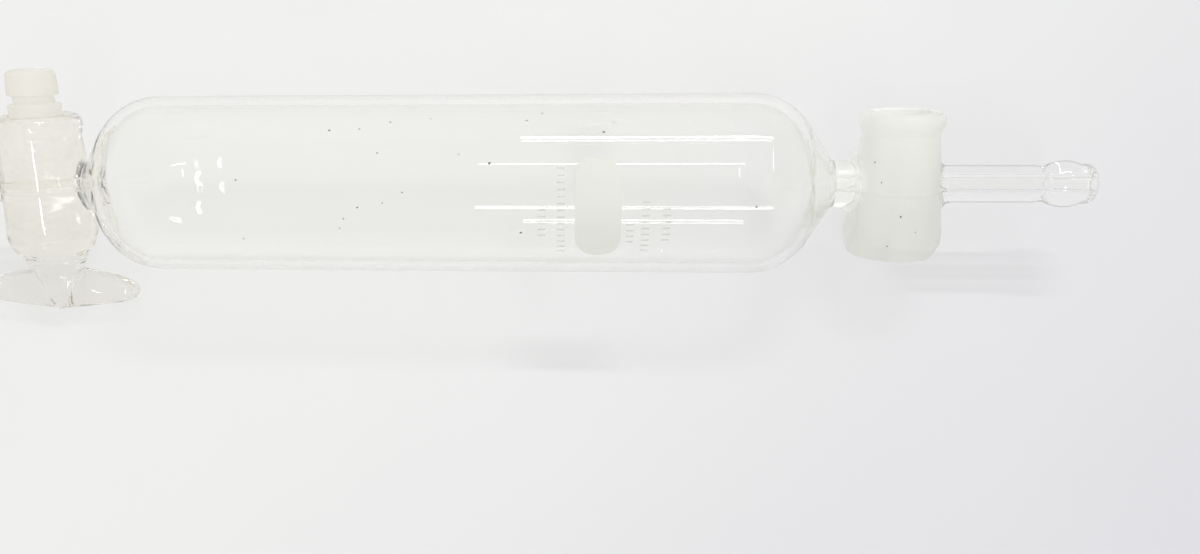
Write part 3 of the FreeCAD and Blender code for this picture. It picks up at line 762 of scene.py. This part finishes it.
def clear_borosilicate(name, tint, painted_rim_shade, shade):
    """Fire-polished borosilicate glass: smooth, with slow waves, and its colour darkened where one looks
    along its skin, painted shade that draws its dark outlines.

    The waves are about 22 mm long, as blowing and turning in the flame leave them.
    """
    material, tree = new_material(name)
    facing = add_node(tree, "ShaderNodeLayerWeight", {"Blend": 0.5})
    # Painted shade: towards grazing views the colour turns to the darker rim colour, drawing the dark
    # outlines
    rim = add_node(tree, "ShaderNodeMapRange", {0: facing.outputs["Facing"], 1: 0.6, 2: 0.92})
    tone = add_node(tree, "ShaderNodeMix", {
        0: rim.outputs[0], 6: (*linear(tint), 1), 7: (*linear(painted_rim_shade), 1),
    }, data_type="RGBA")
    bump = add_node(tree, "ShaderNodeBump", {
        "Strength": 0.008, "Distance": 0.001, "Height": object_noise(tree, 45.0, 1.0),
    })
    glass = add_node(tree, "ShaderNodeBsdfPrincipled", {
        "Base Color": tone.outputs[2], "Roughness": 0.0, "IOR": BOROSILICATE_IOR,
        "Transmission Weight": 1.0, "Normal": bump.outputs["Normal"],
    })
    finish_glass(tree, glass.outputs[0], shade)
    return material


def painted_shade_and_light(tree, colour):
    """The colour with painted shade and painted light: somewhat darker towards the right barrel's foot, but
    hardly so on its side by the bulb, where it is lifted.
    """
    place = add_node(tree, "ShaderNodeTexCoord")
    parts = add_node(tree, "ShaderNodeSeparateXYZ", {0: place.outputs["Object"]})
    bulb_side = add_node(tree, "ShaderNodeMapRange", {
        0: parts.outputs[0], 1: BULB_SIDE[0] * MM, 2: BULB_SIDE[1] * MM, 3: BULB_SIDE_LIFT * MM, 4: 0.0,
    })
    height = add_node(tree, "ShaderNodeMath", {
        0: parts.outputs[1], 1: bulb_side.outputs[0],
    }, operation="ADD")
    level = add_node(tree, "ShaderNodeMapRange", {
        0: height.outputs[0], 1: SHADE_HEIGHTS[0] * MM, 2: SHADE_HEIGHTS[1] * MM,
        3: SHADE_LEVELS[0], 4: SHADE_LEVELS[1],
    })
    # Painted shade and painted light: the colour is multiplied by a level set by place
    return add_node(tree, "ShaderNodeMix", {0: 1.0, 6: colour, 7: level.outputs[0]},
                    data_type="RGBA", blend_type="MULTIPLY").outputs[2]


def ground_borosilicate(name, tint, haze_tint, roughness, milk, shaded):
    """Ground borosilicate glass: a fine matt skin that scatters light and looks milky.

    The real grit is too fine to show, so its grain is drawn about 1 mm wide. With shaded, the milk carries
    painted shade towards the barrel's foot and painted light on its side by the bulb.
    """
    material, tree = new_material(name)
    bump = add_node(tree, "ShaderNodeBump", {
        "Strength": 0.25, "Distance": 0.0002, "Height": object_noise(tree, 900.0, 3.0),
    })
    glass = add_node(tree, "ShaderNodeBsdfPrincipled", {
        "Base Color": (*linear(tint), 1), "Roughness": roughness, "IOR": BOROSILICATE_IOR,
        "Transmission Weight": 1.0, "Normal": bump.outputs["Normal"],
    })
    colour = (*linear(haze_tint), 1)
    # With shaded, painted shade and painted light go into the milk's colour
    haze = add_node(tree, "ShaderNodeBsdfDiffuse", {"Color": painted_shade_and_light(tree, colour) if shaded else colour})
    matt = add_node(tree, "ShaderNodeMixShader", {0: milk, 1: glass.outputs[0], 2: haze.outputs[0]})
    finish_glass(tree, matt.outputs[0], CLOUDY_SHADE)
    return material


def greased_borosilicate():
    """Ground glass wetted by grease: light goes straight on from barrel to plug, with a faint warm haze.

    The grease has nearly the glass's own index, so its skin bends no light. Its smears are about 6 mm long.
    """
    material, tree = new_material("greased_borosilicate")
    no_bending = 1.0
    glass = add_node(tree, "ShaderNodeBsdfPrincipled", {
        "Base Color": (*linear("#fffefc"), 1), "Roughness": 0.0, "IOR": no_bending,
        "Transmission Weight": 1.0,
    })
    film = add_node(tree, "ShaderNodeMapRange", {
        0: object_noise(tree, 160.0, 4.0), 1: 0.35, 2: 0.65, 3: 0.04, 4: 0.14,
    })
    haze = add_node(tree, "ShaderNodeBsdfDiffuse", {"Color": (*linear("#eeebe1"), 1)})
    skin = add_node(tree, "ShaderNodeMixShader", {
        0: film.outputs[0], 1: glass.outputs[0], 2: haze.outputs[0],
    })
    finish_glass(tree, skin.outputs[0], CLOUDY_SHADE)
    return material


def dusty_borosilicate():
    """Borosilicate glass under a film of white dust from storage, which grows along the right dome.

    Dust grains are too fine to show, so they are drawn about 0.4 mm wide.
    """
    material, tree = new_material("dusty_borosilicate")
    place = add_node(tree, "ShaderNodeTexCoord")
    parts = add_node(tree, "ShaderNodeSeparateXYZ", {0: place.outputs["Object"]})
    layers = [add_node(tree, "ShaderNodeMapRange", {
        0: parts.outputs[0], 1: start * MM, 2: full * MM, 3: 0.0, 4: share,
    }, interpolation_type="SMOOTHSTEP") for start, full, share in (DOME_DUST, BARREL_DUST)]
    grown = add_node(tree, "ShaderNodeMath", {
        0: layers[0].outputs[0], 1: layers[1].outputs[0],
    }, operation="ADD")
    roughness_of_dust = 0.45
    blur = add_node(tree, "ShaderNodeMath", {
        0: grown.outputs[0], 1: roughness_of_dust,
    }, operation="MULTIPLY")
    glass = add_node(tree, "ShaderNodeBsdfPrincipled", {
        "Base Color": (*linear("#fefefd"), 1), "Roughness": blur.outputs[0], "IOR": BOROSILICATE_IOR,
        "Transmission Weight": 1.0,
    })
    grain = add_node(tree, "ShaderNodeMapRange", {
        0: object_noise(tree, 2600.0, 2.0), 1: 0.3, 2: 0.7, 3: 0.35, 4: 0.41,
    })
    film = add_node(tree, "ShaderNodeMath", {0: grown.outputs[0], 1: grain.outputs[0]}, operation="MULTIPLY")
    tone = add_node(tree, "ShaderNodeMix", {
        0: object_noise(tree, 4100.0, 2.0), 6: (*linear("#e6e7e1"), 1), 7: (*linear("#ebece6"), 1),
    }, data_type="RGBA")
    # Painted shade and painted light: the dust's colour darkens towards the barrel's foot and lightens on its
    # side by the bulb
    dust = add_node(tree, "ShaderNodeBsdfDiffuse", {"Color": painted_shade_and_light(tree, tone.outputs[2])})
    skin = add_node(tree, "ShaderNodeMixShader", {
        0: film.outputs[0], 1: glass.outputs[0], 2: dust.outputs[0],
    })
    finish_glass(tree, skin.outputs[0], CLOUDY_SHADE)
    return material


def fired_enamel():
    """White ceramic enamel printed on the glass and fired: matt, slightly see-through, with painted light
    that makes it a hair lighter near.

    This painted light changes over the field's own width, in places along y.
    """
    material, tree = new_material("fired_enamel")
    place = add_node(tree, "ShaderNodeTexCoord")
    parts = add_node(tree, "ShaderNodeSeparateXYZ", {0: place.outputs["Object"]})
    # Painted light: the field's near, lower part is a hair lighter against the shade there
    height = add_node(tree, "ShaderNodeMapRange", {0: parts.outputs[1], 1: -17 * MM, 2: -4 * MM})
    tone = add_node(tree, "ShaderNodeMix", {
        0: height.outputs[0], 6: (*linear("#ecede7"), 1), 7: (*linear("#ebece7"), 1),
    }, data_type="RGBA")
    skin = add_node(tree, "ShaderNodeBsdfPrincipled", {
        "Base Color": tone.outputs[2], "Roughness": 0.55, "IOR": 1.5, "Alpha": 0.75,
    })
    add_node(tree, "ShaderNodeOutputMaterial", {"Surface": skin.outputs[0]})
    return material


# The enamel field and rows of plain bars beside it, by distance along the tube and degrees of turn towards
# the table's near side. A row of bars has its offset from the field, its first bar's turn and their number.
FIELD_X = BULB_X + 30.4
FIELD_TURN = 5.6
FIELD_HALF_LENGTH = 4.45
FIELD_ARC = 32.5
FIELD_CORNER = 4.1
FIELD_STEP = 6
PRINT_THICKNESS = 0.12
PRINT_GAP = 0.01
BAR_HALF_LENGTH = 0.8
BAR_HALF_WIDTH = 0.13
BAR_CORNER = 0.1
BAR_CORNER_STEP = 45
BAR_TURN = 4.2
BAR_ROWS = [(-10.9, 5, 5), (-7.2, -20, 14), (6.1, 14, 4), (9.1, 0, 9), (13.0, 4, 6)]


def printed_sheet(centre_x, turn, half_length, half_reach, corner, corner_step):
    """A thin closed sheet on the bulb: a rounded rectangle as seen square on, in rings about its middle."""
    outline = rounded([
        (0, -half_reach), (half_length, -half_reach), (half_length, half_reach),
        (-half_length, half_reach), (-half_length, -half_reach), (0, -half_reach),
    ], [corner] * 4, math.radians(corner_step))
    longest_side = 1.0
    outline = spaced(outline, longest_side)[:-1]
    rings = 2 + int(half_reach)
    flat = outline * np.linspace(0, 1, rings)[:, None, None]
    layers = []
    under, top = BULB_RADIUS + PRINT_GAP, BULB_RADIUS + PRINT_THICKNESS
    for radius, order in ((under, slice(None)), (top, slice(None, None, -1))):
        turns = math.radians(turn) + np.arcsin(flat[order, :, 1] / top)
        layers.append(np.stack([
            centre_x + flat[order, :, 0], -radius * np.sin(turns), radius * np.cos(turns),
        ], -1))
    points = np.concatenate(layers)
    return points, grid_faces(*points.shape[:2]), 0


def enamel_field():
    """The white field, as wide as the chord that FIELD_ARC degrees to either side span."""
    half_reach = (BULB_RADIUS + PRINT_THICKNESS) * math.sin(math.radians(FIELD_ARC))
    field = printed_sheet(FIELD_X, FIELD_TURN, FIELD_HALF_LENGTH, half_reach, FIELD_CORNER, FIELD_STEP)
    return closed_mesh("enamel_field", [field], PRINT_SHARP)


def printed_bars():
    """Rows of short plain bars beside the field, BAR_TURN degrees apart round the bulb."""
    bars = []
    for offset, first, count in BAR_ROWS:
        for number in range(count):
            turn = first + BAR_TURN * number
            bars.append(printed_sheet(
                FIELD_X + offset, turn, BAR_HALF_LENGTH, BAR_HALF_WIDTH, BAR_CORNER, BAR_CORNER_STEP))
    return closed_mesh("printed_bars", bars, PRINT_SHARP)


def grey_print():
    """Thin grey enamel print, fired on and worn, so that most of the light goes through it."""
    material, tree = new_material("grey_print")
    ink = add_node(tree, "ShaderNodeBsdfPrincipled", {
        "Base Color": (*linear("#cbccc4"), 1), "Roughness": 0.6, "Alpha": 0.27,
    })
    add_node(tree, "ShaderNodeOutputMaterial", {"Surface": ink.outputs[0]})
    return material


# Dirt inside the bulb: place along the tube, degrees round it from the far side, and radius
SPECKS = [
    (-24, 78, 0.20), (-18, 77, 0.14), (-12, 71, 0.16), (-4, 68, 0.12), (-14, 95, 0.14), (-42, 113, 0.16),
    (-9, 121, 0.14), (-18, 131, 0.16), (-13, 128, 0.12), (-21, 139, 0.14), (-22, 146, 0.12), (-42, 155, 0.14),
    (30, 80, 0.22), (8, 102, 0.24), (2, 96, 0.12), (14, 149, 0.20), (18, 63, 0.16), (15, 70, 0.18),
    (59, 130, 0.20), (32, 72, 0.14),
]

# Dirt on the right barrel: distance from the tube's axis, degrees round the barrel from the bulb, and radius
BARREL_SPECKS = [(-4.9, 81, 0.16), (-10.9, 69, 0.12), (5.3, 39, 0.14), (1.5, 53, 0.12), (-8.0, 100, 0.1)]

# A speck: corners, stretch along the tube or barrel, and distance off the glass of its middle, with its
# height above and below
SPECK_CORNERS = 6
SPECK_STRETCH = 1.3
SPECK_OFF = 0.04
SPECK_ABOVE = 0.05
SPECK_BELOW = 0.03


def specks():
    """Flat grains of dirt, each a closed six-sided double cone that stands a little off the glass."""
    x, angle, bulb_size = np.array(SPECKS).T
    angle = np.radians(angle) - TILT
    flat = np.zeros_like(angle)
    inward = -np.stack([flat, np.cos(angle), np.sin(angle)], 1)
    on_wall = np.stack([x, flat, flat], 1) - inward * (BULB_RADIUS - WALL)
    s, angle, barrel_size = np.array(BARREL_SPECKS).T
    angle = np.radians(angle)
    flat = np.zeros_like(angle)
    outward = np.stack([-np.cos(angle), flat, np.sin(angle)], 1)
    radius = barrel_radius(BARRELS["right"], s)[:, None]
    on_skin = np.stack([flat + RIGHT_X, s, flat], 1) + outward * radius
    normal = np.concatenate([inward, outward])
    centre = np.concatenate([on_wall, on_skin]) + normal * SPECK_OFF
    size = np.concatenate([bulb_size, barrel_size])[:, None, None]
    along = np.concatenate([
        np.broadcast_to((1.0, 0, 0), inward.shape),
        np.broadcast_to((0, 1.0, 0), outward.shape),
    ])
    around = np.cross(normal, along)
    ring = np.arange(SPECK_CORNERS)
    turns = np.radians(ring * 360 / SPECK_CORNERS)[None, :, None]
    rim = size * (np.cos(turns) * SPECK_STRETCH * along[:, None] + np.sin(turns) * around[:, None])
    points = np.concatenate([
        centre[:, None] + rim,
        (centre + normal * SPECK_ABOVE)[:, None],
        (centre - normal * SPECK_BELOW)[:, None],
    ], 1)
    following = (ring + 1) % SPECK_CORNERS
    top = np.stack([ring, following, np.full(SPECK_CORNERS, SPECK_CORNERS)], 1)
    bottom = np.stack([following, ring, np.full(SPECK_CORNERS, SPECK_CORNERS + 1)], 1)
    first = np.arange(len(centre))[:, None, None] * points.shape[1]
    faces = np.concatenate([top, bottom])[None] + first
    mesh = bpy.data.meshes.new("dirt_specks")
    mesh.from_pydata(in_frame(points).reshape(-1, 3), [], faces.reshape(-1, 3))
    piece = bpy.data.objects.new("dirt_specks", mesh)
    bpy.context.scene.collection.objects.link(piece)
    return piece


def dry_dirt():
    """Dry dirt in dark matt grains."""
    material, tree = new_material("dry_dirt")
    grain = add_node(tree, "ShaderNodeBsdfPrincipled", {
        "Base Color": (*linear("#55534d"), 1), "Roughness": 0.8,
    })
    add_node(tree, "ShaderNodeOutputMaterial", {"Surface": grain.outputs[0]})
    return material


def floor():
    """The table: a flat square of white paper, slightly mottled, with painted shade that makes it greyer and
    bluer towards the right and the near side, away from the lamps.

    It is so large that no edge shows from any side. The painted grey zone and its fade are in metres.
    """
    mesh = bpy.data.meshes.new("table")
    half = 30.0
    corners = [(-half, -half, 0), (half, -half, 0), (half, half, 0), (-half, half, 0)]
    mesh.from_pydata(corners, [], [(0, 1, 2, 3)])
    table = bpy.data.objects.new("table", mesh)
    bpy.context.scene.collection.objects.link(table)
    material, tree = new_material("white_paper_sheet")
    place = add_node(tree, "ShaderNodeTexCoord")
    parts = add_node(tree, "ShaderNodeSeparateXYZ", {0: place.outputs["Object"]})
    # Painted shade: the paper turns greyer and bluer towards the right and the near side of the tube
    aside = add_node(tree, "ShaderNodeMath", {
        0: parts.outputs[0], 1: parts.outputs[1],
    }, operation="SUBTRACT")
    painted_falloff = add_node(tree, "ShaderNodeMapRange", {
        0: aside.outputs[0], 1: -0.06, 2: 0.30,
    }, interpolation_type="SMOOTHSTEP")
    reach = add_node(tree, "ShaderNodeVectorMath", {0: place.outputs["Object"]}, operation="LENGTH")
    near = add_node(tree, "ShaderNodeMapRange", {
        0: reach.outputs["Value"], 1: 0.25, 2: 0.8, 3: 1.0, 4: 0.0,
    })
    painted_falloff = add_node(tree, "ShaderNodeMath", {
        0: painted_falloff.outputs[0], 1: near.outputs[0],
    }, operation="MULTIPLY")
    tone = add_node(tree, "ShaderNodeMix", {
        0: painted_falloff.outputs[0], 6: (*linear("#e8e8e8"), 1), 7: (*linear("#d3d3d9"), 1),
    }, data_type="RGBA")
    cloud = add_node(tree, "ShaderNodeMapRange", {0: object_noise(tree, 12.0, 5.0), 3: 0.975, 4: 1.025})
    mottled = add_node(tree, "ShaderNodeMix", {0: 1.0, 6: tone.outputs[2], 7: cloud.outputs[0]},
                       data_type="RGBA", blend_type="MULTIPLY")
    paper = add_node(tree, "ShaderNodeBsdfPrincipled", {
        "Base Color": mottled.outputs[2], "Roughness": 0.9,
    })
    add_node(tree, "ShaderNodeOutputMaterial", {"Surface": paper.outputs[0]})
    table.data.materials.append(material)


# Lamps, each with the degrees that it stands above the far side of the table, its lean along the tube, its
# middle along the tube, its length along and across the tube and its distance in metres, and its watts
LAMPS = [
    ("far_tube", 56, 0.0, 0.295, 0.70, 0.05, 5.2, 1.5),
    ("near_tube", 146, 0.0, 0.288, 0.85, 0.03, 1.6, 1.5),
    ("box_end", 85, 0.0, 0.655, 0.03, 0.76, 1.2, 1.5),
    ("left_upper_strip", 109, -0.39, -0.05, 0.006, 0.42, 0.16, 1.5),
    ("left_lower_strip", 147, -0.39, -0.05, 0.006, 0.36, 0.14, 1.5),
    ("near_lamp", 131.5, 0.13, -0.09, 0.045, 0.26, 1.0, 1.2),
]


def strip_lamp(name, away, middle_x, length, width, power, distance):
    """A rectangular lamp that faces the tube from the direction away; length runs along the tube."""
    lamp = bpy.data.lights.new(name, "AREA")
    lamp.shape = "RECTANGLE"
    lamp.size, lamp.size_y = length, width
    lamp.energy = power
    piece = bpy.data.objects.new(name, lamp)
    level = Vector((1, 0, 0))
    level = (level - away * level.dot(away)).normalized()
    turned = Matrix((level, away.cross(level), away)).transposed().to_4x4()
    place = Vector((middle_x, AXIS_Y * MM, AXIS_Z * MM)) + away * distance
    piece.matrix_world = Matrix.Translation(place) @ turned
    bpy.context.scene.collection.objects.link(piece)


def square_on(elevation, aside):
    """Direction at this many degrees above the table's far side, square to the tube or somewhat aside."""
    angle = math.radians(elevation)
    return Vector((aside, math.cos(angle), math.sin(angle))).normalized()


def sky():
    """Soft room light: bright overhead, slightly greyer low before and behind the tube."""
    world = bpy.data.worlds.new("room")
    bpy.context.scene.world = world
    world.use_nodes = True
    tree = world.node_tree
    tree.nodes.clear()
    place = add_node(tree, "ShaderNodeTexCoord")
    parts = add_node(tree, "ShaderNodeSeparateXYZ", {0: place.outputs["Generated"]})
    sideways = add_node(tree, "ShaderNodeMath", {0: parts.outputs[0]}, operation="ABSOLUTE")
    side_lift = 0.4
    lifted = add_node(tree, "ShaderNodeMath", {
        0: sideways.outputs[0], 1: side_lift, 2: parts.outputs[2],
    }, operation="MULTIPLY_ADD")
    height = add_node(tree, "ShaderNodeMapRange", {
        0: lifted.outputs[0], 1: 0.0, 2: 0.32,
    }, interpolation_type="SMOOTHSTEP")
    tone = add_node(tree, "ShaderNodeMix", {
        0: height.outputs[0], 6: (*linear("#d2d2d0"), 1), 7: (*linear("#e9e9e7"), 1),
    }, data_type="RGBA")
    light = add_node(tree, "ShaderNodeBackground", {"Color": tone.outputs[2], "Strength": 0.975})
    add_node(tree, "ShaderNodeOutputWorld", {"Surface": light.outputs[0]})


# The photograph's camera: place and aim in millimetres, focal length and optical axis in frame widths
FRAME_WIDTH = 1200
SENSOR_WIDTH = 36.0
CAMERA_PLACE = (22.77, -84.34, 200.43)
CAMERA_AIM = (8.69, -16.07, 7.0)
CAMERA_RIGHT = (0.99763, 0.02979, -0.06210)
FOCAL_LENGTH = 950 / FRAME_WIDTH
AXIS_AT = 500 / FRAME_WIDTH


def camera():
    """The camera, turned so that its back faces away from the aim and its right side is CAMERA_RIGHT."""
    data = bpy.data.cameras.new("camera")
    data.sensor_width = SENSOR_WIDTH
    data.lens = SENSOR_WIDTH * FOCAL_LENGTH
    data.shift_x = 0.5 - AXIS_AT
    piece = bpy.data.objects.new("camera", data)
    place, aim = Vector(CAMERA_PLACE) * MM, Vector(CAMERA_AIM) * MM
    back = (place - aim).normalized()
    right = Vector(CAMERA_RIGHT)
    right = (right - back * right.dot(back)).normalized()
    up = back.cross(right)
    turned = Matrix((right, up, back)).transposed().to_4x4()
    piece.matrix_world = Matrix.Translation(place) @ turned
    data.clip_start = 0.01
    bpy.context.scene.collection.objects.link(piece)
    bpy.context.scene.camera = piece


def finish_piece(piece, body, node, materials):
    """Gives a piece its materials, attaches it to its body and hides the node that it stands for."""
    for material in materials:
        piece.data.materials.append(material)
    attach(piece, body)
    if node:
        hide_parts(node)


greased = greased_borosilicate()
tube = closed_mesh("tube", tube_grids(), GLASS_SHARP)
finish_piece(tube, "tube", "glass_body", [
    clear_borosilicate("clear_borosilicate", "#fffffe", "#dededa", THIN_SHADE),
    ground_borosilicate("ground_borosilicate", "#fdfdfa", "#ebece7", 0.5, 0.8, True),
    clear_borosilicate("rod_borosilicate", "#fefefd", "#60605e", ROD_SHADE),
    dusty_borosilicate(),
    greased,
])
plug = closed_mesh("plug", plug_grids(), GLASS_SHARP)
finish_piece(plug, "plug", "stopcock_plug", [
    clear_borosilicate("plug_borosilicate", "#f9f7f3", "#cfcfca", HANDLE_SHADE),
    ground_borosilicate("ground_plug_borosilicate", "#fdfcf6", "#e9e6de", 0.4, 0.5, False),
    greased,
])
finish_piece(enamel_field(), "tube", "marking_patch", [fired_enamel()])
finish_piece(printed_bars(), "tube", None, [grey_print()])
finish_piece(specks(), "tube", None, [dry_dirt()])

floor()
sky()
for lamp_name, elevation, lean, *lamp_sizes in LAMPS:
    strip_lamp(lamp_name, square_on(elevation, lean), *lamp_sizes)
# Seen through the right arm's solid glass this lamp would show as white blobs that the real arm lacks
bpy.data.objects["box_end"].visible_transmission = False
camera()

scene = bpy.context.scene
scene.view_settings.view_transform = "Standard"
scene.cycles.max_bounces = 32
scene.cycles.transmission_bounces = 32
scene.cycles.transparent_max_bounces = 48
scene.cycles.glossy_bounces = 12
scene.cycles.caustics_reflective = False
scene.cycles.caustics_refractive = False
scene.cycles.use_denoising = True
